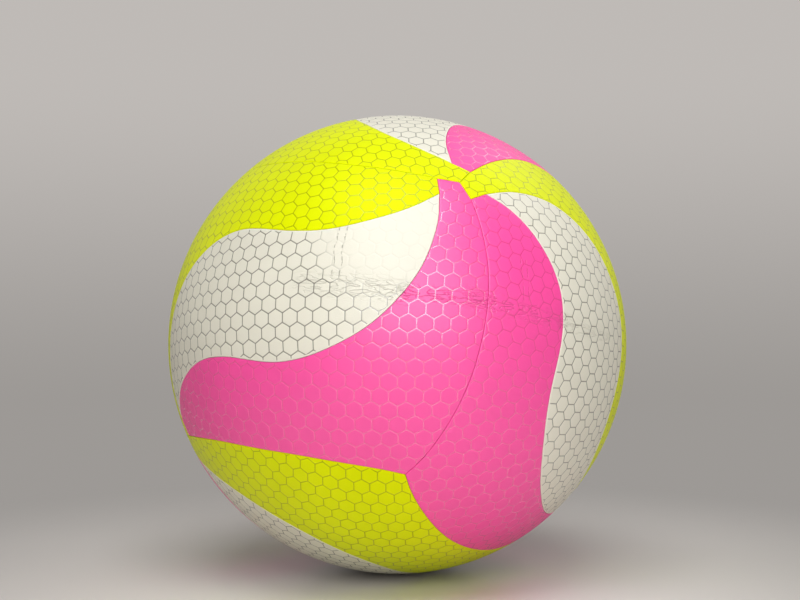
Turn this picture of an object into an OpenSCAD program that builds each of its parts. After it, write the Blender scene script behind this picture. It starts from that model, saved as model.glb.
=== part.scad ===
/* [Ball] */
// Diameter over the inflated cover
ball_diameter = 210; // [200:1:220]

/* [Cover panels] */
// Thickness of the microfibre skin of a panel
skin_thickness = 1.2; // [0.9:0.1:1.6]
// Width of the open seam between two skins
seam_width = 0.3; // [0.2:0.1:0.8]
// Depth to which the edge of a skin is pared down at the seam
edge_depth = 0.5; // [0.3:0.1:0.7]
// Width of the pared edge of a skin
edge_width = 0.6; // [0.3:0.1:1]
// Thickness of the foam pad behind a skin
pad_thickness = 2.4; // [1.8:0.1:3.2]
// Width of the seam between two pads
pad_seam_width = 0.5; // [0.3:0.1:1]

/* [Inner layers] */
// Film of cement between two layers
cement_thickness = 0.1; // [0.05:0.05:0.2]
// Thickness of the moulded rubber carcass
carcass_thickness = 0.6; // [0.4:0.1:1.2]
// Thickness of the layer of wound nylon thread
winding_thickness = 0.6; // [0.4:0.1:1.2]
// Thickness of the bladder's wall
bladder_thickness = 0.6; // [0.4:0.1:1.2]

/* [Valve] */
// Diameter of the rubber collar that shows in the cover
collar_diameter = 6; // [5:0.5:8]
// Depth of the collar's face below the cover
collar_recess = 0.3; // [0.1:0.1:0.6]
// Clearance round the collar and the stem
collar_clearance = 0.2; // [0.1:0.05:0.4]
// Diameter of the stem under the cover
stem_diameter = 9; // [8.5:0.5:12]
// Diameter of the flange that is bonded inside the bladder
flange_diameter = 32; // [24:1:40]
// Thickness of the flange
flange_thickness = 1.4; // [1:0.1:2.5]
// Diameter of the socket below the flange
socket_diameter = 12; // [10:0.5:14]
// Length of the socket below the flange
socket_length = 13; // [10:0.5:18]
// Radius of the fillet between the flange and the socket
socket_fillet = 2.5; // [1:0.5:4]
// Radius of the round at the inner end of the socket
socket_round = 1.5; // [0.5:0.5:2.5]
// Diameter of the valve core in its socket
core_diameter = 4; // [3.6:0.1:4.4]
// Clearance between the core and its socket
core_clearance = 0.05; // [0.03:0.01:0.1]
// Diameter of the bulb that holds the core in place
bulb_diameter = 6.4; // [5.6:0.2:7.4]
// Length of the bulb, from its shoulder to the core's inner end
bulb_length = 6; // [4:0.5:8]
// Diameter of the channel for the inflating needle
needle_diameter = 2; // [1.6:0.1:2.2]
// Depth of the funnel that leads the needle in
funnel_depth = 0.8; // [0.4:0.1:1.2]
// Diameter of the funnel's mouth
funnel_diameter = 3; // [2.6:0.1:3.4]

/* [Hidden] */
// The cover is six triples of panels, one over each face of a cube drawn inside the ball. Places on a face are
// shares of half the cube's edge: [0, 0] is the middle of the face and [1, 1] is a corner of the cube. A seam
// between two triples runs from a corner where three outer panels meet in a plain star to the next corner, where
// the ends of three outer panels turn round each other like a pinwheel.
star_corner_share = [1, 1];
pinwheel_corner_share = [1, -1];
// Points that the seam between two triples passes through, on its way from the star corner
triple_seam_shares = [
    star_corner_share, [0.895, 0.785], [0.8, 0.52], [0.735, 0.25], [0.715, -0.03], [0.735, -0.28], [0.805, -0.55],
    [0.895, -0.8]
];
// Points that the seam between an outer panel and the middle panel passes through, from tip to tip
middle_tip_share = [0.765, -0.835];
middle_seam_shares = [
    middle_tip_share, [0.58, -0.68], [0.435, -0.51], [0.315, -0.305], [0.27, -0.11], [0.265, 0.18], [0.185, 0.405],
    [0.03, 0.615], [-0.225, 0.785], [-0.515, 0.85], -middle_tip_share
];
// Stretches into which a seam is cut between two of the points above
seam_steps = 3;

// Each triple: its name, how it is turned from the first one about X, then Y, then Z, and its three colours.
// The outer panels come first and last, and the middle panel lies between them.
TRIPLES = [
    ["front_right", [0, 0, 0], ["pink", "white", "yellow"]],
    ["front_left", [90, 0, 90], ["pink", "white", "yellow"]],
    ["bottom", [0, -90, -90], ["yellow", "white", "pink"]],
    ["top", [0, 90, -90], ["yellow", "white", "pink"]],
    ["back_right", [90, 0, -90], ["yellow", "white", "pink"]],
    ["back_left", [180, 0, 0], ["pink", "white", "yellow"]]
];
VALVE_TRIPLE = 4;
MIDDLE = 1;
PAINTS = [["pink", "#f8589b"], ["white", "#ecebdf"], ["yellow", "#dfe600"]];

// How the ball is turned as it lies: about X, then Y, then Z
lie_turn = [-93.9, -13, -125.4];

// Number of sides with which the round faces are drawn
$fn = 180;
// Turn that puts the poles of a round shell off to the sides of the panels cut from it
pole_turn = [0, 90, 0];
// Turn that makes the third panel of a triple the twin of the first
twin_turn = [0, 0, 180];
// Stretches of the small arcs in the valve's outline
arc_steps = 6;
// How far a cutting shape runs past the face that it cuts
overrun = 0.1;

// The layers from the cover inwards, each one as the radii of its face and of its back
cover_radius = ball_diameter / 2;
skin_back = cover_radius - skin_thickness;
pad_face = skin_back - cement_thickness;
pad_back = pad_face - pad_thickness;
carcass_face = pad_back - cement_thickness;
carcass_back = carcass_face - carcass_thickness;
winding_face = carcass_back - cement_thickness;
winding_back = winding_face - winding_thickness;
bladder_face = winding_back - cement_thickness;
bladder_back = bladder_face - bladder_thickness;
flange_face = bladder_back - cement_thickness;
flange_back = flange_face - flange_thickness;

// Heights along the valve's axis, from the middle of the ball
collar_top = cover_radius - collar_recess;
stem_top = sqrt(pow(pad_face, 2) - pow(stem_diameter / 2, 2));
socket_end = flange_back - socket_length;

function unit(v) = v / norm(v);
function backwards(list) = [for (i = [len(list) - 1:-1:0]) list[i]];
function without_first(list) = [for (i = [1:len(list) - 1]) list[i]];
function without_ends(list) = [for (i = [1:len(list) - 2]) list[i]];

// A smooth curve through points: it leaves the first and meets the last one straight
function smooth(points) =
    let(last = len(points) - 1)
    let(first_guide = 2 * points[0] - points[1])
    let(last_guide = 2 * points[last] - points[last - 1])
    let(guides = concat([first_guide], points, [last_guide]))
    concat(
        [for (i = [0:last - 1]) for (step = [0:seam_steps - 1]) between(guides, i, step / seam_steps)],
        [points[last]]
    );
function between(guides, i, t) =
    let(a = guides[i], b = guides[i + 1], c = guides[i + 2], d = guides[i + 3])
    b + ((c - a) * t + (2 * a - 5 * b + 4 * c - d) * t * t + (3 * b - 3 * c + d - a) * t * t * t) / 2;

// The direction from the ball's middle to a place on the first face, and its twins: the next edge round the
// star corner, and the half turn about the middle of the face
function direction(share) = unit([share.x, share.y, 1]);
function next_edge(v) = [v.y, v.z, v.x];
function half_turn(v) = [-v.x, -v.y, v.z];

triple_seam = [for (share = smooth(triple_seam_shares)) direction(share)];
next_seam = [for (v = triple_seam) next_edge(v)];
middle_seam = [for (share = smooth(middle_seam_shares)) direction(share)];
seam_fork = triple_seam[len(triple_seam) - 1];
far_corner = half_turn(direction(pinwheel_corner_share));

// An outline is two sides that part at its first point and meet again at its last one. The right side comes
// first, as seen from outside with the first point lowest.
outer_outline = [
    concat(backwards(triple_seam), without_first(next_seam), [far_corner]),
    concat([seam_fork], middle_seam, [half_turn(seam_fork), far_corner])
];
middle_outline = [middle_seam, backwards([for (v = middle_seam) half_turn(v)])];

function name_of(t, panel) = str(TRIPLES[t][0], "_", TRIPLES[t][2][panel]);
function paint_of(t, panel) = PAINTS[search([TRIPLES[t][2][panel]], PAINTS)[0]][1];

// The outline as one ring of directions, drawn in towards the panel by a share of the radius
function drawn_in(outline, by_share) =
    let(ring = concat(outline[0], backwards(without_ends(outline[1]))))
    let(count = len(ring))
    let(sides = [for (i = [0:count - 1]) unit(cross(ring[i], ring[(i + 1) % count]))])
    [
        for (i = [0:count - 1])
            let(before = sides[(i + count - 1) % count], after = sides[i])
            unit(ring[i] + by_share * (before + after) / (1 + before * after))
    ];

// The lid of a cutter: triangles that climb both sides of the outline in step
function lid_step(i, right, left) = min(max(round((i + 1 / 2) * left / right), 1), left - 1);
function lid(right, left) =
    let(count = right + left)
    concat(
        [for (i = [0:right - 1]) [i + 1, i, count - lid_step(i, right, left)]],
        [
            for (j = [1:left - 2])
                let(climbed = len([for (i = [0:right - 1]) if (lid_step(i, right, left) <= j) i]))
                [count - j, count - j - 1, climbed]
        ]
    );

// A wedge from the ball's middle that fills one panel's outline. Each ring is a radius and how far the outline
// is drawn in there; the wedge goes on from the last ring to a flat lid above the cover.
module wedge(outline, rings) {
    right = len(outline[0]) - 1;
    left = len(outline[1]) - 1;
    count = right + left;
    lid_height = cover_radius + 2 * overrun;
    levels = [for (ring = rings) drawn_in(outline, ring[1] / ring[0])];
    last_level = levels[len(levels) - 1];
    points = concat(
        [[0, 0, 0]],
        [for (k = [0:len(rings) - 1]) for (v = levels[k]) v * rings[k][0]],
        [for (v = last_level) v * lid_height / v.z]
    );
    faces = concat(
        [for (i = [0:count - 1]) [0, 1 + i, 1 + (i + 1) % count]],
        [
            for (k = [0:len(rings) - 1])
                for (i = [0:count - 1])
                    let(low = 1 + k * count, high = low + count, next = (i + 1) % count)
                    for (face = [[low + i, high + i, high + next], [low + i, high + next, low + next]])
                        face
        ],
        [for (face = lid(right, left)) [for (corner = face) 1 + len(rings) * count + corner % count]]
    );
    polyhedron(points, faces);
}

module shell(face_radius, back_radius) {
    difference() {
        sphere(face_radius);
        sphere(back_radius);
    }
}

// Turns what is drawn on the first triple to another triple of the ball as it lies
module on_triple(t) {
    rotate(lie_turn)
        rotate(TRIPLES[t][1])
            children();
}

// One panel of a round shell, cut out by its wedge
module panel_blank(panel, face_radius, back_radius, rings) {
    rotate(panel > MIDDLE ? twin_turn : [0, 0, 0])
        intersection() {
            rotate(pole_turn)
                shell(face_radius, back_radius);
            wedge(panel == MIDDLE ? middle_outline : outer_outline, rings);
        }
}

module valve_hole(diameter) {
    cylinder(h = cover_radius + overrun, d = diameter + 2 * collar_clearance);
}

// A panel's skin: its edge is cut square to the cover and then pared down along the seam
module skin(t, panel) {
    edge_slope = edge_width / edge_depth;
    wall_ring = [cover_radius - edge_depth, seam_width / 2];
    pared_ring = [cover_radius + overrun, seam_width / 2 + edge_slope * (edge_depth + overrun)];
    color(paint_of(t, panel))
        on_triple(t)
            difference() {
                panel_blank(panel, cover_radius, skin_back, [wall_ring, pared_ring]);
                if (t == VALVE_TRIPLE && panel == MIDDLE)
                    valve_hole(collar_diameter);
            }
}

// The foam pad behind a skin
module pad(t, panel) {
    color("#f4f1e6")
        on_triple(t)
            difference() {
                panel_blank(panel, pad_face, pad_back, [[pad_back - overrun, pad_seam_width / 2]]);
                if (t == VALVE_TRIPLE && panel == MIDDLE)
                    valve_hole(stem_diameter);
            }
}

// One of the closed layers under the panels, which only the valve's stem goes through
module layer(face_radius, back_radius) {
    on_triple(VALVE_TRIPLE)
        difference() {
            shell(face_radius, back_radius);
            valve_hole(stem_diameter);
        }
}

module carcass() {
    color("#2f2f31") layer(carcass_face, carcass_back);
}

module winding() {
    color("#e9e6dc") layer(winding_face, winding_back);
}

module bladder() {
    color("#1f1f21") layer(bladder_face, bladder_back);
}

// Points of a quarter circle round a middle, from one angle to another
function arc(middle, radius, from, to) =
    [for (i = [0:arc_steps]) let(a = from + (to - from) * i / arc_steps) middle + radius * [cos(a), sin(a)]];

// The valve's rubber seat: a flange under the bladder's wall, a socket below it and a stem up to the cover
module valve_housing() {
    socket_radius = socket_diameter / 2;
    fillet_middle = socket_radius + socket_fillet;
    flange_underside = sqrt(pow(flange_back, 2) - pow(fillet_middle, 2));
    color("#26262a")
        on_triple(VALVE_TRIPLE)
            difference() {
                union() {
                    intersection() {
                        shell(flange_face, flange_back);
                        cylinder(h = cover_radius, d = flange_diameter);
                    }
                    rotate_extrude()
                        polygon(concat(
                            [[0, socket_end]],
                            arc([socket_radius - socket_round, socket_end + socket_round], socket_round, -90, 0),
                            arc([fillet_middle, flange_underside - socket_fillet], socket_fillet, 180, 90),
                            [
                                [fillet_middle, flange_underside + flange_thickness / 2],
                                [stem_diameter / 2, flange_underside + flange_thickness / 2],
                                [stem_diameter / 2, stem_top],
                                [collar_diameter / 2, stem_top],
                                [collar_diameter / 2, collar_top],
                                [0, collar_top]
                            ]
                        ));
                }
                translate([0, 0, socket_end - overrun])
                    cylinder(h = cover_radius, d = core_diameter + 2 * core_clearance);
                translate([0, 0, socket_end - overrun])
                    cylinder(h = bulb_length + core_clearance + overrun, d = bulb_diameter + 2 * core_clearance);
            }
}

// The self-sealing plug: a bulb in the socket, a shaft up to the collar's face and the needle's channel
module valve_core() {
    color("#4a3226")
        on_triple(VALVE_TRIPLE)
            difference() {
                union() {
                    translate([0, 0, socket_end])
                        cylinder(h = bulb_length, d = bulb_diameter);
                    translate([0, 0, socket_end])
                        cylinder(h = collar_top - socket_end, d = core_diameter);
                }
                translate([0, 0, socket_end - overrun])
                    cylinder(h = cover_radius, d = needle_diameter);
                translate([0, 0, collar_top - funnel_depth])
                    cylinder(h = funnel_depth, d1 = needle_diameter, d2 = funnel_diameter);
            }
}

for (t = [0:len(TRIPLES) - 1])
    for (panel = [0:len(TRIPLES[t][2]) - 1]) {
        skin(t, panel);
        pad(t, panel);
    }
carcass();
winding();
bladder();
valve_housing();
valve_core();
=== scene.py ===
import math

import bpy
import numpy as np
from mathutils import Matrix, Vector
from mathutils.geometry import delaunay_2d_cdt


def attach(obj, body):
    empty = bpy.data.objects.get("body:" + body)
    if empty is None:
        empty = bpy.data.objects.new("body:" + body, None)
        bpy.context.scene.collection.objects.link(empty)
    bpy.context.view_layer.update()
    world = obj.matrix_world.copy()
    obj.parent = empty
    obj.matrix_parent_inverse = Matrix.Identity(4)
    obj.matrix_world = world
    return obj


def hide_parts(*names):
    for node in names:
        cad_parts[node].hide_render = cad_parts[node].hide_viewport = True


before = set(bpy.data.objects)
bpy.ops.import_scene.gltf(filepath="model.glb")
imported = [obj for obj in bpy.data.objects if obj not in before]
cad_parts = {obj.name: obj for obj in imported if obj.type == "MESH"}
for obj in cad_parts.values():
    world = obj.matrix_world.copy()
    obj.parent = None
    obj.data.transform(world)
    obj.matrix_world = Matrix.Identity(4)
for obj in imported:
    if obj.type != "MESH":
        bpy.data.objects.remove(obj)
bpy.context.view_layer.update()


# The bladder is the airtight innermost layer, a ball of black butyl rubber that is dipped and cured in a mould.
# It comes out with a satin face, a faint mould line and a dusting of talc, and only the valve goes through it.
def put(tree, kind, values=None, **options):
    """Adds a node. Its values are its inputs, by place or name: a constant, or another node's output."""
    made = tree.nodes.new(kind)
    for option, choice in options.items():
        setattr(made, option, choice)
    for place, value in (values or {}).items():
        if isinstance(value, bpy.types.NodeSocket):
            tree.links.new(value, made.inputs[place])
        else:
            made.inputs[place].default_value = value
    return made


def maths(tree, operation, *values):
    """A sum on one or two values."""
    return put(tree, "ShaderNodeMath", dict(enumerate(values)), operation=operation).outputs[0]


def tint(tree, amount, colour, other):
    """A colour that goes over to another one by an amount."""
    mix = put(tree, "ShaderNodeMix", {0: amount}, data_type="RGBA")
    for place, value in ((6, colour), (7, other)):
        if isinstance(value, bpy.types.NodeSocket):
            tree.links.new(value, mix.inputs[place])
        else:
            mix.inputs[place].default_value = (*value, 1)
    return mix.outputs[2]


def spread(tree, value, low, high, start=0.0, end=1.0, smooth=True):
    """Maps a value from low..high to start..end, and no further."""
    kind = "SMOOTHSTEP" if smooth else "LINEAR"
    return put(tree, "ShaderNodeMapRange", {0: value, 1: low, 2: high, 3: start, 4: end},
               interpolation_type=kind).outputs[0]


def new_finish(name, **constants):
    """A material with its shader's constants set, and the coordinates that every finish here starts from."""
    material = bpy.data.materials.new(name)
    material.use_nodes = True
    tree = material.node_tree
    shader = tree.nodes["Principled BSDF"]
    for socket, value in constants.items():
        shader.inputs[socket.replace("_", " ")].default_value = value
    place = put(tree, "ShaderNodeTexCoord").outputs["Object"]
    return material, tree, shader, place


def grain(tree, place, scale, detail=3.0, roughness=0.5):
    """Cloudy noise, so many clouds to a metre."""
    return put(tree, "ShaderNodeTexNoise", {
        "Vector": place, "Scale": scale, "Detail": detail, "Roughness": roughness}).outputs[0]


def raise_by(tree, shader, height, distance):
    """Bumps a finish by a height that is worth a distance."""
    bump = put(tree, "ShaderNodeBump", {"Height": height, "Distance": distance, "Strength": 1.0})
    tree.links.new(bump.outputs[0], shader.inputs["Normal"])


def dress(node, material):
    """Gives a CAD node its finish."""
    node.data.materials.clear()
    node.data.materials.append(material)


rubber, tree, shader, place = new_finish("butyl rubber with talc", IOR=1.5)
talc = spread(tree, grain(tree, place, 22, 6, 0.65), 0.5, 0.72)
colour = tint(tree, maths(tree, "MULTIPLY", talc, 0.35), (0.018, 0.018, 0.02), (0.2, 0.2, 0.2))
tree.links.new(colour, shader.inputs["Base Color"])
tree.links.new(spread(tree, talc, 0, 1, 0.38, 0.7, False), shader.inputs["Roughness"])
mould_line_reach = 0.0006
above = put(tree, "ShaderNodeSeparateXYZ", {0: place}).outputs[2]
mould_line = spread(tree, maths(tree, "ABSOLUTE", above), 0, mould_line_reach, 1, 0)
raise_by(tree, shader, maths(tree, "ADD", grain(tree, place, 900), mould_line), 0.0001)
dress(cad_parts["bladder"], rubber)


# The winding is nylon thread, wound round the bladder along great circles in every direction and set in latex.
# It keeps the ball round. Every turn lies across the others, and all of them pass clear of the valve's stem.
winding_radius = 0.1002
thread_width = 0.0005
thread_turns = 110
thread_steps, thread_sides = 64, 4
golden_angle = math.pi * (3 - math.sqrt(5))
stem_room = 0.06
valve_way = Vector((0.56443, 0.79424, -0.22495))


def new_rule(name, inputs):
    """A Geometry Nodes tree that takes a mesh and these named inputs, and gives a mesh back."""
    tree = bpy.data.node_groups.new(name, "GeometryNodeTree")
    sockets = tree.interface
    sockets.new_socket("Geometry", in_out="OUTPUT", socket_type="NodeSocketGeometry")
    sockets.new_socket("Geometry", in_out="INPUT", socket_type="NodeSocketGeometry")
    for label, kind in inputs.items():
        sockets.new_socket(label, in_out="INPUT", socket_type="NodeSocket" + kind)
    return tree, put(tree, "NodeGroupInput").outputs


def end_rule(tree, geometry, material):
    """Ends a tree: its instances become one mesh with one material."""
    solid = put(tree, "GeometryNodeRealizeInstances", {0: geometry}).outputs[0]
    set_material = put(tree, "GeometryNodeSetMaterial", {0: solid, "Material": material})
    tree.links.new(set_material.outputs[0], put(tree, "NodeGroupOutput").inputs[0])


def follow_rule(name, rule, values, start=None):
    """Runs a tree on a mesh, and keeps what comes out as a plain mesh object."""
    piece = bpy.data.objects.new(name, start or bpy.data.meshes.new(name))
    bpy.context.scene.collection.objects.link(piece)
    modifier = piece.modifiers.new(rule.name, "NODES")
    modifier.node_group = rule
    named = {s.name: s.identifier for s in rule.interface.items_tree if s.in_out == "INPUT"}
    for label, value in values.items():
        modifier[named[label]] = value
    bpy.context.view_layer.update()
    evaluated = piece.evaluated_get(bpy.context.evaluated_depsgraph_get())
    made = bpy.data.meshes.new_from_object(evaluated)
    made.name = name
    piece.modifiers.clear()
    piece.data = made
    return piece


rule, given = new_rule("wound thread", {
    "Turns": "Int", "Radius": "Float", "Thread width": "Float", "Way of the valve": "Vector",
    "Room for the stem": "Float", "Finish": "Material"})
turns = put(rule, "GeometryNodePoints", {"Count": given["Turns"]}).outputs[0]
index = put(rule, "GeometryNodeInputIndex").outputs[0]
share = maths(rule, "DIVIDE", maths(rule, "ADD", index, 0.5), given["Turns"])
height = maths(rule, "SUBTRACT", 1.0, share)
reach = maths(rule, "SQRT", maths(rule, "SUBTRACT", 1.0, maths(rule, "MULTIPLY", height, height)))
angle = maths(rule, "MULTIPLY", index, golden_angle)
pole = put(rule, "ShaderNodeCombineXYZ", {
    0: maths(rule, "MULTIPLY", reach, maths(rule, "COSINE", angle)),
    1: maths(rule, "MULTIPLY", reach, maths(rule, "SINE", angle)), 2: height}).outputs[0]
towards = put(rule, "ShaderNodeVectorMath", {0: pole, 1: given["Way of the valve"]},
              operation="DOT_PRODUCT").outputs["Value"]
clear = put(rule, "FunctionNodeCompare", {
    0: maths(rule, "ABSOLUTE", towards), 1: given["Room for the stem"]}, operation="GREATER_THAN").outputs[0]
turn = put(rule, "GeometryNodeCurvePrimitiveCircle", {
    "Resolution": thread_steps, "Radius": given["Radius"]}).outputs[0]
section = put(rule, "GeometryNodeCurvePrimitiveCircle", {
    "Resolution": thread_sides, "Radius": maths(rule, "DIVIDE", given["Thread width"], 2.0)}).outputs[0]
thread = put(rule, "GeometryNodeCurveToMesh", {0: turn, 1: section}).outputs[0]
laid = put(rule, "GeometryNodeInstanceOnPoints", {
    "Points": turns, "Selection": clear, "Instance": thread,
    "Rotation": put(rule, "FunctionNodeAlignRotationToVector", {"Vector": pole}, axis="Z").outputs[0]})
end_rule(rule, laid.outputs[0], given["Finish"])

nylon, tree, shader, place = new_finish("nylon thread in latex", Roughness=0.42, Sheen_Weight=0.25)
stain = spread(tree, grain(tree, place, 60, 5), 0.35, 0.75)
tree.links.new(tint(tree, stain, (0.82, 0.8, 0.74), (0.6, 0.52, 0.36)), shader.inputs["Base Color"])
twist = put(tree, "ShaderNodeTexWave", {"Vector": place, "Scale": 1600.0, "Distortion": 3.0}).outputs[1]
raise_by(tree, shader, twist, 0.00004)
winding = follow_rule("winding_thread", rule, {
    "Turns": thread_turns, "Radius": winding_radius, "Thread width": thread_width,
    "Way of the valve": valve_way, "Room for the stem": stem_room, "Finish": nylon})
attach(winding, "root")
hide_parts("winding")


# The carcass is natural rubber, moulded over the winding under heat. Its face has a fine cloth mark from the
# mould's liner and keeps streaks of the cement that holds the panels.
moulded, tree, shader, place = new_finish("moulded carcass rubber", IOR=1.5)
cement = spread(tree, grain(tree, place, 35, 5, 0.7), 0.48, 0.7)
tree.links.new(tint(tree, maths(tree, "MULTIPLY", cement, 0.3), (0.035, 0.035, 0.038), (0.3, 0.27, 0.2)),
               shader.inputs["Base Color"])
tree.links.new(spread(tree, cement, 0, 1, 0.62, 0.35, False), shader.inputs["Roughness"])
weave = put(tree, "ShaderNodeTexWave", {"Vector": place, "Scale": 500.0, "Distortion": 1.0},
            bands_direction="DIAGONAL").outputs[1]
raise_by(tree, shader, weave, 0.00004)
dress(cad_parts["carcass"], moulded)


# The valve's seat is one moulded piece of soft black rubber: a flange bonded inside the bladder, a socket below it
# and a stem up to the cover, where its collar shows. A harder brown plug with the needle's channel sits in it.
def rubber_finish(name, dark, worn):
    """Moulded rubber, duller where dust has settled on it."""
    material, tree, shader, place = new_finish(name, IOR=1.5)
    dust = spread(tree, grain(tree, place, 180, 5), 0.45, 0.75)
    tree.links.new(tint(tree, dust, dark, worn), shader.inputs["Base Color"])
    tree.links.new(spread(tree, dust, 0, 1, 0.4, 0.6, False), shader.inputs["Roughness"])
    raise_by(tree, shader, grain(tree, place, 3500), 0.00003)
    return material


soft_rubber = rubber_finish("soft valve rubber", (0.022, 0.022, 0.024), (0.05, 0.05, 0.05))
hard_rubber = rubber_finish("hard plug rubber", (0.09, 0.042, 0.026), (0.13, 0.075, 0.05))
dress(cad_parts["valve_housing"], soft_rubber)
dress(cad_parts["valve_core"], hard_rubber)


# The cover is 18 strips in six triples, two outer strips round a middle one, and every triple swirls round its
# neighbours. A soft foam pad, cut to the same outline, is cemented to the carcass behind each strip.
ball_radius = 0.105
pad_radius = 0.1037
pad_thickness = 0.0024
pad_insets = (0.00025, 0.0006, 0.0012, 0.0024, 0.006)
stem_radius = 0.0047
valve_strip = ("back_right", 1)
hole_sides = 48
back_spacing = 0.006
all_but_touching = 0.000005
millimetres = 1000
whole_hull, same_spot = 0, 1e-4
sharp_edge = math.radians(50)
triple_seam_marks = ((1, 1), (0.895, 0.785), (0.8, 0.52), (0.735, 0.25), (0.715, -0.03), (0.735, -0.28),
                     (0.805, -0.55), (0.895, -0.8))
middle_seam_marks = ((0.765, -0.835), (0.58, -0.68), (0.435, -0.51), (0.315, -0.305), (0.27, -0.11),
                     (0.265, 0.18), (0.185, 0.405), (0.03, 0.615), (-0.225, 0.785), (-0.515, 0.85),
                     (-0.765, 0.835))
seam_steps = 9
lie_turn = (-93.9, -13, -125.4)
triples = {
    "front_right": ((0, 0, 0), ("pink", "white", "yellow")),
    "front_left": ((90, 0, 90), ("pink", "white", "yellow")),
    "bottom": ((0, -90, -90), ("yellow", "white", "pink")),
    "top": ((0, 90, -90), ("yellow", "white", "pink")),
    "back_right": ((90, 0, -90), ("yellow", "white", "pink")),
    "back_left": ((180, 0, 0), ("pink", "white", "yellow")),
}


def unit(v):
    """Vectors brought to length 1."""
    return v / np.linalg.norm(v, axis=-1, keepdims=True)


def turned(degrees):
    """The matrix that turns about X, then Y, then Z."""
    about = [Matrix.Rotation(math.radians(a), 3, axis) for a, axis in zip(degrees, "XYZ")]
    return np.array(about[2] @ about[1] @ about[0])


def seam(marks):
    """A smooth seam through its marks, as directions from the ball's middle."""
    marks = np.array(marks, float)
    guides = np.vstack([2 * marks[0] - marks[1], marks, 2 * marks[-1] - marks[-2]])
    steps = []
    for a, b, c, d in zip(guides, guides[1:], guides[2:], guides[3:]):
        for t in np.arange(seam_steps) / seam_steps:
            bow = (c - a) * t + (2 * a - 5 * b + 4 * c - d) * t ** 2 + (3 * b - 3 * c + d - a) * t ** 3
            steps.append(b + bow / 2)
    steps.append(marks[-1])
    return unit(np.column_stack([np.array(steps), np.ones(len(steps))]))


between_triples = seam(triple_seam_marks)
between_strips = seam(middle_seam_marks)
half_turn = np.array((-1, -1, 1))
far_corner = unit(np.array((-1.0, 1.0, 1.0)))
outer_outline = np.vstack([between_triples[::-1], between_triples[1:, (1, 2, 0)], far_corner,
                           between_triples[-1] * half_turn, between_strips[::-1]])
middle_outline = np.vstack([between_strips, (between_strips * half_turn)[1:-1]])


def drawn_in(outline, distance):
    """The outline, moved into the panel by a distance along the ball."""
    sides = unit(np.cross(outline, np.roll(outline, -1, 0)))
    before = np.roll(sides, 1, 0)
    mitre = (before + sides) / (1 + (before * sides).sum(1, keepdims=True))
    return unit(outline + distance / ball_radius * mitre)


def laid_flat(directions, tilt):
    """Directions on the ball, unrolled round the panel's middle. The tilt's last column is that middle."""
    seen = directions @ tilt
    angle = np.arccos(np.clip(seen[:, 2], -1, 1))
    return seen[:, :2] * (ball_radius * angle / np.maximum(np.sin(angle), 1e-9))[:, None]


def tilted_to(middle):
    """The matrix that turns +Z to a panel's middle."""
    return np.array(Vector((0, 0, 1)).rotation_difference(Vector(middle)).to_matrix())


def inside(points, ring):
    """Which points lie inside a closed ring."""
    found = np.zeros(len(points), bool)
    for (ax, ay), (bx, by) in zip(ring, np.roll(ring, -1, 0)):
        crosses = (ay > points[:, 1]) != (by > points[:, 1])
        if crosses.any():
            found ^= crosses & (points[:, 0] < ax + (points[:, 1] - ay) * (bx - ax) / (by - ay or 1))
    return found


def from_ring(points, ring):
    """The distance from each point to a closed ring."""
    nearest = np.full(len(points), np.inf)
    for a, b in zip(ring, np.roll(ring, -1, 0)):
        along = b - a
        t = np.clip((points - a) @ along / (along @ along), 0, 1)
        nearest = np.minimum(nearest, np.linalg.norm(points - a - t[:, None] * along, axis=1))
    return nearest


def edges_of(faces):
    """The three edges of every face, each in the way that the face goes round it."""
    return np.vstack([faces[:, (0, 1)], faces[:, (1, 2)], faces[:, (2, 0)]])


def shut_in(faces, fences, start):
    """The faces that can be reached from one of them without crossing a fence."""
    sides = [(frozenset((a, b)), frozenset((b, c)), frozenset((c, a))) for a, b, c in faces.tolist()]
    across = {}
    for face, three in enumerate(sides):
        for side in three:
            across.setdefault(side, []).append(face)
    reached, kept = [start], {start}
    while reached:
        for side in sides[reached.pop()]:
            if side not in fences:
                fresh = [face for face in across[side] if face not in kept]
                kept.update(fresh)
                reached.extend(fresh)
    return faces[sorted(kept)]


def welded(points, faces):
    """Joins points that all but touch, so that no triangle is a bare line. Says which point each one became."""
    ends = edges_of(faces)
    short = np.linalg.norm(points[ends[:, 0]] - points[ends[:, 1]], axis=1) < all_but_touching
    became = np.arange(len(points))
    for a, b in ends[short]:
        low, high = sorted((became[a], became[b]))
        became[became == high] = low
    faces = became[faces]
    faces = faces[(faces != np.roll(faces, 1, 1)).all(1)]
    _, which, times = np.unique(np.sort(faces, 1), axis=0, return_inverse=True, return_counts=True)
    return became, faces[times[which.reshape(-1)] == 1]


def triangulated(points, lines, fences, edge, hole_edge):
    """Triangles that keep every line and fill what the fences shut in, and where each of the points went. The
    fences are the places of their lines in the list."""
    found, spans, faces, origin, span_origin, _ = delaunay_2d_cdt(
        [Vector(p) * millimetres for p in points], lines, [], whole_hull, same_spot)
    found, faces = np.array([tuple(p) for p in found]) / millimetres, np.array(faces)
    fenced = {frozenset(span) for span, olds in zip(spans, span_origin) if not fences.isdisjoint(olds)}
    middles = found[faces].mean(1)
    within = inside(middles, edge)
    if hole_edge is not None:
        within &= ~inside(middles, hole_edge)
    one, two = found[faces[:, 1]] - found[faces[:, 0]], found[faces[:, 2]] - found[faces[:, 0]]
    largest = int(np.argmax(within * np.abs(one[:, 0] * two[:, 1] - one[:, 1] * two[:, 0])))
    became, faces = welded(found, shut_in(faces, fenced, largest))
    used, faces = np.unique(faces, return_inverse=True)
    place = {int(point): i for i, point in enumerate(used)}
    went = {old: place.get(int(became[new])) for new, olds in enumerate(origin) for old in olds}
    return found[used], faces.reshape(-1, 3), went


def rims(faces):
    """The edges that only one face uses, each in the way that the face goes round it."""
    ways = {tuple(way) for way in edges_of(faces)}
    return [way for way in ways if (way[1], way[0]) not in ways]


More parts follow.
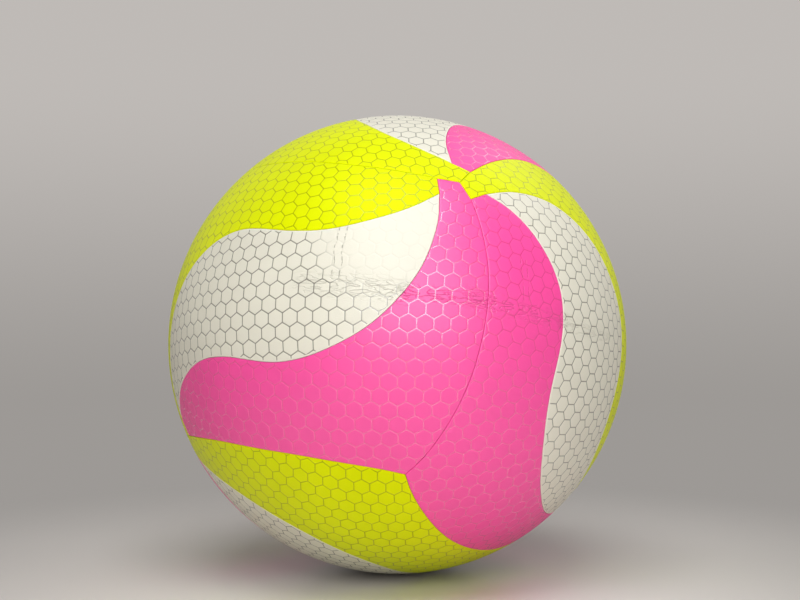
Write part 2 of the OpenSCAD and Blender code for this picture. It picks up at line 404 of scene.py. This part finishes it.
def back_grid(edge, hole):
    """Evenly spread points inside a sheet, clear of its edge and its hole."""
    low, high = edge.min(0), edge.max(0)
    columns, rows = np.arange(low[0], high[0], back_spacing), np.arange(low[1], high[1], back_spacing)
    grid = np.array([(x + back_spacing / 2 * (j % 2), y) for j, y in enumerate(rows) for x in columns])
    grid = grid[inside(grid, edge) & (from_ring(grid, edge) > back_spacing / 3)]
    return grid[np.linalg.norm(grid, axis=1) > hole * 1.5] if hole else grid


def cut_sheet(name, outline, tilt, insets, thickness, guides, guide_lines, hole=0.0, cell=None):
    """A panel cut from flat sheet: its face holds the guide lines, its wall and plain back close it.
    Each point of the face knows how far it is from the seam and from the middle of the nearest groove."""
    seam_line = laid_flat(outline, tilt)
    rings = [laid_flat(drawn_in(outline, inset), tilt) for inset in insets]
    edge, hole_edge, edge_rings = rings[0], None, [0]
    if hole:
        round_about = np.linspace(0, 2 * np.pi, hole_sides, endpoint=False)
        circle = np.column_stack([np.cos(round_about), np.sin(round_about)])
        edge_rings.append(len(rings))
        rings += [circle * (hole + inset) for inset in insets]
        hole_edge = rings[edge_rings[1]]
    points, lines, fences = [], [], set()
    for place, ring in enumerate(rings):
        if place in edge_rings:
            fences.update(range(len(lines), len(lines) + len(ring)))
        lines += [(len(points) + i, len(points) + (i + 1) % len(ring)) for i in range(len(ring))]
        points += list(ring)

    grid = back_grid(edge, hole)
    if len(guides):
        near = inside(guides, seam_line)
        if hole:
            near &= np.linalg.norm(guides, axis=1) > hole
        guide_lines = [(a, b) for a, b in guide_lines if near[a] or near[b]]
        used = sorted({i for line in guide_lines for i in line} | set(np.flatnonzero(near)))
        renamed = {old: len(points) + new for new, old in enumerate(used)}
        lines += [(renamed[a], renamed[b]) for a, b in guide_lines]
        points += [guides[i] for i in used]
    else:
        points += list(grid)
    face_points, face_faces, _ = triangulated(points, lines, fences, edge, hole_edge)

    rim = rims(face_faces)
    rim_points = sorted({i for way in rim for i in way})
    rim_place = {old: new for new, old in enumerate(rim_points)}
    back_lines = [(rim_place[a], rim_place[b]) for a, b in rim]
    back_points, back_faces, went = triangulated(
        [face_points[i] for i in rim_points] + list(grid), back_lines, set(range(len(rim))), edge, hole_edge)
    behind = {old: len(face_points) + went[rim_place[old]] for old in rim_points}

    mesh = bpy.data.meshes.new(name)
    points = np.vstack([np.column_stack([face_points, np.zeros(len(face_points))]),
                        np.column_stack([back_points, np.full(len(back_points), -thickness)])])
    walls = [(b, a, behind[a], behind[b]) for a, b in rim]
    backs = back_faces[:, ::-1] + len(face_points)
    mesh.from_pydata(points, [], [*map(tuple, face_faces.tolist()), *map(tuple, backs.tolist()), *walls])
    from_edge = from_ring(face_points, seam_line)
    if hole:
        from_edge = np.minimum(from_edge, np.linalg.norm(face_points, axis=1) - hole)
    from_groove = cell(face_points) if cell else np.full(len(face_points), 1.0)
    for label, values in (("from_edge", from_edge), ("from_groove", from_groove)):
        kept = mesh.attributes.new(label, "FLOAT", "POINT")
        kept.data.foreach_set("value", np.append(values, np.full(len(back_points), 1.0)).astype(np.float32))
    return mesh


panel_rule, given = new_rule("panel on the ball", {
    "Ball radius": "Float", "Edge depth": "Float", "Edge width": "Float", "Crown depth": "Float",
    "Crown width": "Float", "Groove depth": "Float", "Groove floor": "Float", "Groove width": "Float",
    "Bare border": "Float", "Finish": "Material"})


def kept_value(label):
    """A distance that cut_sheet wrote on the sheet."""
    return put(panel_rule, "GeometryNodeInputNamedAttribute", {"Name": label}, data_type="FLOAT").outputs[0]


def falling(distance, depth, width):
    """A depth that dies away with distance."""
    share = maths(panel_rule, "MULTIPLY", maths(panel_rule, "DIVIDE", distance, width), -1.0)
    return maths(panel_rule, "MULTIPLY", maths(panel_rule, "EXPONENT", share), depth)


from_edge, from_groove = kept_value("from_edge"), kept_value("from_groove")
half_border = maths(panel_rule, "DIVIDE", given["Bare border"], 2.0)
border = spread(panel_rule, from_edge, half_border, given["Bare border"])
half_floor = maths(panel_rule, "DIVIDE", given["Groove floor"], 2.0)
half_groove = maths(panel_rule, "DIVIDE", given["Groove width"], 2.0)
groove = maths(panel_rule, "MULTIPLY", border,
               spread(panel_rule, from_groove, half_floor, half_groove, 1.0, 0.0))
pressed = maths(panel_rule, "ADD", maths(panel_rule, "MULTIPLY", groove, given["Groove depth"]),
                maths(panel_rule, "ADD", falling(from_edge, given["Edge depth"], given["Edge width"]),
                      falling(from_edge, given["Crown depth"], given["Crown width"])))
on_sheet = put(panel_rule, "GeometryNodeInputPosition").outputs[0]
flat = put(panel_rule, "ShaderNodeSeparateXYZ", {0: on_sheet}).outputs
across = put(panel_rule, "ShaderNodeCombineXYZ", {0: flat[0], 1: flat[1]}).outputs[0]
away = put(panel_rule, "ShaderNodeVectorMath", {0: across}, operation="LENGTH").outputs["Value"]
bend = maths(panel_rule, "DIVIDE", away, given["Ball radius"])
out_by = maths(panel_rule, "SUBTRACT", maths(panel_rule, "ADD", given["Ball radius"], flat[2]), pressed)
sideways = maths(panel_rule, "MULTIPLY", out_by,
                 maths(panel_rule, "DIVIDE", maths(panel_rule, "SINE", bend), away))
bent = put(panel_rule, "ShaderNodeCombineXYZ", {
    0: maths(panel_rule, "MULTIPLY", flat[0], sideways), 1: maths(panel_rule, "MULTIPLY", flat[1], sideways),
    2: maths(panel_rule, "MULTIPLY", out_by, maths(panel_rule, "COSINE", bend))}).outputs[0]
# The turned edge is marked for a painted highlight: the skins' finishes paint it paler, as if it caught the light.
turned_edge_width = 0.0009
rim_highlight_share = spread(panel_rule, from_edge, 0.0, turned_edge_width, 1.0, 0.0)
marked = given["Geometry"]
for label, value in (("groove", groove), ("edge", rim_highlight_share)):
    marked = put(panel_rule, "GeometryNodeStoreNamedAttribute", {0: marked, "Name": label, "Value": value},
                 data_type="FLOAT", domain="POINT").outputs[0]
placed = put(panel_rule, "GeometryNodeSetPosition", {0: marked, "Position": bent}).outputs[0]
smooth = put(panel_rule, "GeometryNodeSetShadeSmooth", {0: placed}).outputs[0]
end_rule(panel_rule, smooth, given["Finish"])


def panel(name, node, sheet, values, tilt, triple_turn, twin):
    """Bends a sheet over the ball, turns it to its place in the cover and lets it stand for its CAD node."""
    piece = follow_rule(name, panel_rule, values, sheet)
    place = turned(lie_turn) @ turned(triple_turn) @ turned((0, 0, 180 if twin else 0)) @ tilt
    piece.data.transform(Matrix(place).to_4x4())
    for label in ("from_edge", "from_groove"):
        piece.data.attributes.remove(piece.data.attributes[label])
    piece.data.set_sharp_from_angle(angle=sharp_edge)
    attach(piece, "root")
    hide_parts(node)
    return piece


outer_tilt = tilted_to(unit(outer_outline.mean(0)))
middle_tilt = np.identity(3)
foam, tree, shader, place = new_finish("closed cell foam", Roughness=0.85)
tree.links.new(tint(tree, grain(tree, place, 70), (0.9, 0.88, 0.8), (0.8, 0.76, 0.66)), shader.inputs["Base Color"])
cells = put(tree, "ShaderNodeTexVoronoi", {"Vector": place, "Scale": 1800.0}).outputs[0]
raise_by(tree, shader, cells, 0.00008)
pad_size = {
    "Ball radius": pad_radius, "Edge depth": 0.0006, "Edge width": 0.0006, "Crown depth": 0.0, "Crown width": 0.002,
    "Groove depth": 0.0, "Groove floor": 0.0002, "Groove width": 0.0004, "Bare border": 0.001, "Finish": foam}
for triple, (triple_turn, paints) in triples.items():
    for strip, paint in enumerate(paints):
        outline, tilt = (middle_outline, middle_tilt) if strip == 1 else (outer_outline, outer_tilt)
        stem = stem_radius - pad_insets[0] if (triple, strip) == valve_strip else 0.0
        sheet = cut_sheet(f"foam_{triple}_{paint}", outline, tilt, pad_insets, pad_thickness, [], [], stem)
        foam_pad = panel(f"foam_{triple}_{paint}", f"pad_{triple}_{paint}", sheet, pad_size, tilt,
                         triple_turn, strip == 2)


# Each strip's skin is polyurethane microfibre, 1.2 mm thick, cemented over its pad. A honeycomb of fine glossy
# grooves is pressed into its matt face, and its edge is rolled down into the seam between it and its neighbours.
skin_insets = (0.0001, 0.00018, 0.0003, 0.0005, 0.0009, 0.0018)
skin_thickness = 0.0012
collar_radius = 0.0032
groove_floor, groove_width, shoulder_width = 0.00028, 0.00056, 0.0014
corner_radius = 0.0004
cell_columns, cell_rows = 40, 46
rule, given = new_rule("honeycomb", {
    "Cell width": "Float", "Groove floor": "Float", "Groove width": "Float", "Shoulder": "Float",
    "Corner radius": "Float", "Columns": "Int", "Rows": "Int", "Turn": "Float",
    "Middle of a cell": "Vector", "Finish": "Material"})
index = put(rule, "GeometryNodeInputIndex").outputs[0]
row = maths(rule, "FLOOR", maths(rule, "DIVIDE", index, given["Columns"]))
column = maths(rule, "SUBTRACT", index, maths(rule, "MULTIPLY", row, given["Columns"]))
column = maths(rule, "SUBTRACT", column, maths(rule, "FLOOR", maths(rule, "DIVIDE", given["Columns"], 2.0)))
row = maths(rule, "SUBTRACT", row, maths(rule, "FLOOR", maths(rule, "DIVIDE", given["Rows"], 2.0)))
staggered = maths(rule, "ADD", column, maths(rule, "MULTIPLY", maths(rule, "FLOORED_MODULO", row, 2.0), 0.5))
spot = put(rule, "ShaderNodeCombineXYZ", {
    0: maths(rule, "MULTIPLY", staggered, given["Cell width"]),
    1: maths(rule, "MULTIPLY", row, maths(rule, "MULTIPLY", given["Cell width"], math.sqrt(3) / 2))}).outputs[0]
spots = put(rule, "GeometryNodePoints", {
    "Count": maths(rule, "MULTIPLY", given["Columns"], given["Rows"]), "Position": spot}).outputs[0]
to_flat = maths(rule, "DIVIDE", given["Cell width"], 2.0)
to_corner = 2 / math.sqrt(3)
half_cell = put(rule, "GeometryNodeCurveArc", {
    "Resolution": 4, "Radius": maths(rule, "MULTIPLY", to_flat, to_corner), "Start Angle": math.radians(-30),
    "Sweep Angle": math.radians(180)}, mode="RADIUS").outputs[0]
parts = [half_cell]
for width, rounded in (("Groove floor", 0.0), ("Groove width", 1.0), ("Shoulder", 1.5)):
    reach = maths(rule, "SUBTRACT", to_flat, maths(rule, "DIVIDE", given[width], 2.0))
    ring = put(rule, "GeometryNodeCurvePrimitiveCircle", {
        "Resolution": 6, "Radius": maths(rule, "MULTIPLY", reach, to_corner)}).outputs[0]
    if rounded:
        ring = put(rule, "GeometryNodeFilletCurve", {
            "Curve": ring, "Count": 1, "Radius": maths(rule, "MULTIPLY", given["Corner radius"], rounded)},
            mode="POLY").outputs[0]
    parts.append(put(rule, "GeometryNodeTransform", {0: ring, "Rotation": (0, 0, math.radians(30))}).outputs[0])
joined = put(rule, "GeometryNodeJoinGeometry")
for part in reversed(parts):
    rule.links.new(part, joined.inputs[0])
marks = put(rule, "GeometryNodeCurveToMesh", {0: joined.outputs[0]}).outputs[0]
middle = put(rule, "GeometryNodeMeshLine", {"Count": 1}).outputs[0]
one_cell = put(rule, "GeometryNodeJoinGeometry")
for part in (middle, marks):
    rule.links.new(part, one_cell.inputs[0])
laid = put(rule, "GeometryNodeInstanceOnPoints", {"Points": spots, "Instance": one_cell.outputs[0]}).outputs[0]
swung = put(rule, "GeometryNodeTransform", {
    0: laid, "Translation": given["Middle of a cell"],
    "Rotation": put(rule, "ShaderNodeCombineXYZ", {2: given["Turn"]}).outputs[0]}).outputs[0]
end_rule(rule, swung, given["Finish"])
honeycomb = rule


def groove_distance(points, cell_width, turn, middle):
    """The distance from each point of the flat sheet to the middle of the nearest honeycomb groove."""
    c, s = math.cos(turn), math.sin(turn)
    local = (points - np.array(middle)) @ np.array(((c, -s), (s, c)))
    row_height = cell_width * math.sqrt(3) / 2
    nearest = np.full(len(points), np.inf)
    for step in (0, 1):
        row = np.round(local[:, 1] / row_height / 2 - step / 2) * 2 + step
        column = np.round(local[:, 0] / cell_width - step / 2) + step / 2
        off = local - np.column_stack([column * cell_width, row * row_height])
        flats = [np.array((math.cos(a), math.sin(a))) for a in np.radians((0, 60, 120))]
        reach = np.max([np.abs(off @ flat) for flat in flats], axis=0)
        nearest = np.minimum(nearest, reach)
    return np.maximum(cell_width / 2 - nearest, 0)


def vector_maths(tree, operation, *values, output=0):
    """The same for vectors. Output 1 is the number of a distance or a dot product."""
    return put(tree, "ShaderNodeVectorMath", dict(enumerate(values)), operation=operation).outputs[output]


def beside(tree, place, start, end):
    """How far along a crease a point is, how far aside of it, how far away from it and how far past its ends."""
    start, end = Vector(start), Vector(end)
    along = (end - start).normalized()
    across = (start + end).cross(along).normalized()
    offset = vector_maths(tree, "SUBTRACT", place, start)
    run = vector_maths(tree, "DOT_PRODUCT", offset, along, output=1)
    aside = vector_maths(tree, "DOT_PRODUCT", offset, across, output=1)
    past = maths(tree, "MAXIMUM", maths(tree, "MULTIPLY", run, -1.0),
                 maths(tree, "SUBTRACT", run, (end - start).length))
    return run, aside, maths(tree, "MAXIMUM", maths(tree, "ABSOLUTE", aside), past), past


def rippled(tree, place, start, end, reach, seed):
    """Fine ripples along a crease that the deflated ball was packed with, which die away within a reach of it."""
    ripples_along, ripples_across = 150.0, 560.0
    run, aside, away, _ = beside(tree, place, start, end)
    stretched = put(tree, "ShaderNodeCombineXYZ", {
        0: maths(tree, "MULTIPLY", run, ripples_along), 1: maths(tree, "MULTIPLY", aside, ripples_across),
        2: float(seed)}).outputs[0]
    wavy = grain(tree, stretched, 1.0, 1, 0.5)
    valley = spread(tree, maths(tree, "ABSOLUTE", maths(tree, "SUBTRACT", wavy, 0.5)), 0.0, 0.045, 1, 0)
    return maths(tree, "MULTIPLY", valley, spread(tree, away, reach * 0.1, reach, 1, 0))


def folded(tree, place, start, end, apart, seed):
    """A sharp fold: two broken lines that run side by side."""
    bends_along, wander_share = 130.0, 1.2
    line_core, line_reach = 0.00005, 0.0003
    run, aside, _, past = beside(tree, place, start, end)
    along = put(tree, "ShaderNodeCombineXYZ", {
        0: maths(tree, "MULTIPLY", run, bends_along), 1: float(seed)}).outputs[0]
    wavy = maths(tree, "SUBTRACT", grain(tree, along, 1.0, 2), 0.5)
    wander = maths(tree, "MULTIPLY", wavy, apart * wander_share)
    off = maths(tree, "SUBTRACT", maths(tree, "ABSOLUTE", maths(tree, "ADD", aside, wander)), apart / 2)
    line = spread(tree, maths(tree, "ABSOLUTE", off), line_core, line_reach, 1, 0)
    broken = spread(tree, grain(tree, along, 4.0, 3), 0.44, 0.56)
    ends = spread(tree, past, -0.003, 0.0, 1, 0)
    return maths(tree, "MULTIPLY", maths(tree, "MULTIPLY", line, broken), ends)


# Each crease has two ends and a reach. Each fold has two ends and the width between its lines.
creases = (
    ((-0.0364, -0.0947, 0.0269), (0.0012, -0.1023, 0.0237), 0.0075),
    ((0.0012, -0.1023, 0.0237), (0.0319, -0.098, 0.0202), 0.005),
    ((0.0319, -0.098, 0.0202), (0.0671, -0.08, 0.0112), 0.0065),
    ((0.0671, -0.08, 0.0112), (0.0891, -0.0554, 0.0033), 0.0045),
)
folds = (
    ((-0.0212, -0.0892, 0.0514), (-0.0245, -0.0985, 0.0285), 0.0032),
    ((0.051, -0.0834, 0.0384), (0.0519, -0.0903, 0.013), 0.0026),
)


def skin_finish(name, face, gloss, groove_colour, gloss_tint, lacquer, rim, painted_highlight_spots=()):
    """The matt face and lacquered grooves of one colour. The gloss is the face's IOR, and the rim is how much paler
    the turned edge is painted, a painted highlight. In the painted highlight spots, each a middle and a reach, the
    grooves fade out of colour and gloss."""
    material, tree, shader, place = new_finish(
        name, IOR=gloss, Coat_IOR=2.1, Coat_Roughness=0.27, Specular_Tint=(*gloss_tint, 1))
    pressed = put(tree, "ShaderNodeAttribute", attribute_name="groove").outputs["Fac"]
    edge = put(tree, "ShaderNodeAttribute", attribute_name="edge").outputs["Fac"]
    lined = spread(tree, pressed, 0.1, 0.7)
    # Painted highlight: in these spots the grooves fade out of colour and gloss, as a highlight would wash them
    # out.
    for middle, reach in painted_highlight_spots:
        away = vector_maths(tree, "DISTANCE", place, middle, output=1)
        lined = maths(tree, "MULTIPLY", lined, spread(tree, away, reach * 0.55, reach, 0.03, 1.0))
    ripple_shade, fold_shade, crease_height, pore_depth = 0.1, 0.5, 12.0, 0.00002
    crumpled, marked = 0.0, 0.0
    for seed, (start, end, reach) in enumerate(creases):
        crumpled = maths(tree, "MAXIMUM", crumpled, rippled(tree, place, start, end, reach, seed))
    for seed, (start, end, apart) in enumerate(folds):
        marked = maths(tree, "MAXIMUM", marked, folded(tree, place, start, end, apart, seed))
    mottled = tint(tree, spread(tree, grain(tree, place, 30, 4), 0.3, 0.7), face, tuple(0.96 * c for c in face))
    shadow = maths(tree, "MAXIMUM", maths(tree, "MULTIPLY", crumpled, ripple_shade),
                   maths(tree, "MULTIPLY", marked, fold_shade))
    shaded = tint(tree, shadow, mottled, groove_colour)
    # The grooves take the darker groove colour, a little unevenly.
    groove_toned = maths(tree, "MULTIPLY", lined, spread(tree, grain(tree, place, 45, 3), 0.25, 0.5, 0.8, 1.0))
    coloured = tint(tree, groove_toned, shaded, groove_colour)
    # Painted highlight: the turned edge is painted paler than the face, by the rim's amount.
    pale = tuple(min(1.0, rim * c) for c in face)
    tree.links.new(tint(tree, maths(tree, "MULTIPLY", edge, 0.7), coloured, pale), shader.inputs["Base Color"])
    tree.links.new(spread(tree, lined, 0, 1, 0.48, 0.3, False), shader.inputs["Roughness"])
    tree.links.new(maths(tree, "MULTIPLY", lined, lacquer), shader.inputs["Coat Weight"])
    pores = put(tree, "ShaderNodeTexVoronoi", {"Vector": place, "Scale": 2200.0}).outputs[0]
    skin = maths(tree, "ADD", pores, grain(tree, place, 1500))
    sunk = maths(tree, "MULTIPLY", maths(tree, "MAXIMUM", crumpled, marked), crease_height)
    raise_by(tree, shader, maths(tree, "SUBTRACT", skin, sunk), pore_depth)
    return material


skin_finishes = {
    "pink": skin_finish(
        "pink microfibre", face=(1.0, 0.058, 0.36), gloss=1.9, groove_colour=(0.93, 0.035, 0.28),
        gloss_tint=(1, 0.9, 0.95), lacquer=1.0, rim=1.05),
    # The white skin carries a painted highlight spot on its front, where its grooves fade out.
    "white": skin_finish(
        "white microfibre", face=(0.785, 0.765, 0.65), gloss=1.65, groove_colour=(0.26, 0.25, 0.2),
        gloss_tint=(1, 1, 1), lacquer=1.0, rim=1.12, painted_highlight_spots=(((-0.006, -0.0935, 0.0475), 0.034),)),
    "yellow": skin_finish(
        "yellow microfibre", face=(0.75, 0.84, 0.0), gloss=1.5, groove_colour=(0.4, 0.45, 0.0),
        gloss_tint=(1, 1, 0.0), lacquer=0.12, rim=1.0),
}
skin_size = {
    "Ball radius": ball_radius, "Edge depth": 0.0003, "Edge width": 0.00014, "Crown depth": 0.00004,
    "Crown width": 0.0015, "Groove depth": 0.00005, "Groove floor": groove_floor, "Groove width": groove_width}
bare_borders = {"pink": 0.0006, "white": 0.0011, "yellow": 0.0005}
# How the honeycomb lies on each strip: a cell's width, the turn of its flats in degrees and where one cell's middle
# is. The skins are punched out of pressed sheet with no care for its pattern.
honeycomb_lies = {
    "front_left_pink": (0.0068, 32.75, (0.00061, 0.00034)),
    "front_left_white": (0.00666, 39, (0.00031, -0.00032)),
    "front_left_yellow": (0.00658, 28.5, (-0.00255, -0.00121)),
    "front_right_pink": (0.00666, 30.75, (0.00185, -0.00013)),
    "front_right_white": (0.0066, 39.75, (-0.00098, -0.00285)),
    "front_right_yellow": (0.00686, 36.5, (0.0026, -0.00148)),
    "bottom_yellow": (0.00666, 32.75, (-0.00097, -0.00338)),
    "bottom_white": (0.0067, 41.25, (0.00088, -0.00215)),
    "top_yellow": (0.00674, 38, (-0.00201, 0.00007)),
    "top_white": (0.0068, 42, (0.001, -0.00205)),
    "top_pink": (0.00698, 27.25, (0.00169, 0.00277)),
    "back_right_white": (0.00666, 38.5, (0.0012, 0.0007)),
}
unseen_middle, unseen_outer = (0.00666, 40, (0.0005, -0.0015)), (0.00666, 31.5, (0.0008, 0.0003))
for triple, (triple_turn, paints) in triples.items():
    for strip, paint in enumerate(paints):
        outline, tilt = (middle_outline, middle_tilt) if strip == 1 else (outer_outline, outer_tilt)
        lie = honeycomb_lies.get(f"{triple}_{paint}", unseen_middle if strip == 1 else unseen_outer)
        cell_width, turn, cell_middle = lie[0], math.radians(lie[1]), lie[2]
        guide = follow_rule("honeycomb", honeycomb, {
            "Cell width": cell_width, "Groove floor": groove_floor, "Groove width": groove_width,
            "Shoulder": shoulder_width, "Corner radius": corner_radius, "Columns": cell_columns,
            "Rows": cell_rows, "Turn": turn, "Middle of a cell": (*cell_middle, 0.0)})
        guides = np.array([v.co[:2] for v in guide.data.vertices])
        lines = [tuple(e.vertices) for e in guide.data.edges]
        bpy.data.objects.remove(guide)
        collar = collar_radius - skin_insets[0] if (triple, strip) == valve_strip else 0.0
        sheet = cut_sheet(f"cover_{triple}_{paint}", outline, tilt, skin_insets, skin_thickness, guides, lines,
                          collar, lambda points: groove_distance(points, cell_width, turn, cell_middle))
        size = {**skin_size, "Bare border": bare_borders[paint], "Finish": skin_finishes[paint]}
        panel(f"cover_{triple}_{paint}", f"skin_{triple}_{paint}", sheet, size, tilt,
              triple_turn, strip == 2)


# The ball lies on a plain pale floor that sweeps up all round into a backdrop, which is the stage and not
# the object. The backdrop is painted darker towards its foot, a painted shade. The floor keeps the ball's shadow
# and its soft reflection, and it is palest in front, where it lights the ball from below.
def swept_floor():
    """A round floor whose border bends up into a wall."""
    flat, bend, top, sides = 1.2, 0.8, 2.6, 96
    profile = [(r, 0.0) for r in (0.3, 0.6, 0.9, flat)]
    for angle in np.radians(np.arange(9, 91, 9)):
        profile.append((flat + bend * math.sin(angle), bend * (1 - math.cos(angle))))
    profile.append((flat + bend, top))
    points, faces = [(0.0, 0.0, -ball_radius)], []
    for r, z in profile:
        points += [(r * math.cos(a), r * math.sin(a), z - ball_radius)
                   for a in np.linspace(0, 2 * np.pi, sides, endpoint=False)]
    for i in range(sides):
        j = (i + 1) % sides
        faces.append((0, 1 + i, 1 + j))
        for ring in range(len(profile) - 1):
            low, high = 1 + ring * sides, 1 + (ring + 1) * sides
            faces.append((low + i, high + i, high + j, low + j))
    mesh = bpy.data.meshes.new("floor")
    mesh.from_pydata(points, [], faces)
    for polygon in mesh.polygons:
        polygon.use_smooth = True
    return mesh


floor = bpy.data.objects.new("floor", swept_floor())
bpy.context.scene.collection.objects.link(floor)
ground, tree, shader, place = new_finish("plain floor", Roughness=0.3, Specular_IOR_Level=0.22)
way = put(tree, "ShaderNodeLightPath").outputs


def floor_distance(middle):
    """The distance from a spot on the floor."""
    return vector_maths(tree, "DISTANCE", place, (*middle, -ball_radius), output=1)


pale, plain = (0.82, 0.79, 0.755), (0.545, 0.52, 0.497)
tree.links.new(tint(tree, spread(tree, floor_distance((-0.02, -0.33)), 0.16, 0.42), pale, plain),
               shader.inputs["Base Color"])
_, depth, height = put(tree, "ShaderNodeSeparateXYZ", {0: place}).outputs
# Painted shade: the backdrop is painted darker towards its foot.
low_wall, high_wall = (0.3, 0.284, 0.27), (0.52, 0.492, 0.47)
wall = tint(tree, spread(tree, height, -0.3, 0.45), low_wall, high_wall)
backdrop = put(tree, "ShaderNodeEmission", {"Color": wall}).outputs[0]
far = spread(tree, floor_distance((0, 0)), 0.13, 0.33)
mirrored = maths(tree, "MULTIPLY", way["Is Glossy Ray"], spread(tree, depth, 0.2, 1.2))
seen = maths(tree, "MAXIMUM", way["Is Camera Ray"], maths(tree, "MAXIMUM", mirrored, way["Is Transmission Ray"]))
mixed = put(tree, "ShaderNodeMixShader", {
    0: maths(tree, "MULTIPLY", far, seen), 1: shader.outputs[0], 2: backdrop})
tree.links.new(mixed.outputs[0], tree.nodes["Material Output"].inputs[0])
floor.data.materials.append(ground)


def soft_lamp(name, place, size, power):
    """A soft box that is aimed at the ball's middle."""
    lamp = bpy.data.lights.new(name, "AREA")
    lamp.shape, lamp.size, lamp.size_y, lamp.energy = "RECTANGLE", size[0], size[1], power
    holder = bpy.data.objects.new(name, lamp)
    holder.location = place
    holder.rotation_euler = (-Vector(place)).to_track_quat("-Z", "Y").to_euler()
    bpy.context.scene.collection.objects.link(holder)


soft_lamp("top soft box", (-0.05, -0.56, 1.4), (1.0, 0.8), 13)
soft_lamp("front soft box", (0.14, -1.34, 0.62), (1.2, 0.97), 13)
soft_lamp("back soft box", (0.7, 0.6, 1.15), (0.9, 0.7), 2.7)
world = bpy.data.worlds.new("room")
bpy.context.scene.world = world
world.use_nodes = True
background = world.node_tree.nodes["Background"]
background.inputs["Color"].default_value = (1, 0.98, 0.95, 1)
background.inputs["Strength"].default_value = 0.1

camera = bpy.data.cameras.new("camera")
camera.lens = 62.3
camera.clip_start = 0.01
viewer = bpy.data.objects.new("camera", camera)
viewer.location = (0.0012, -0.64334, 0.0202)
viewer.rotation_euler = (math.radians(90), 0, 0)
bpy.context.scene.collection.objects.link(viewer)
bpy.context.scene.camera = viewer
bpy.context.scene.view_settings.view_transform = "Standard"
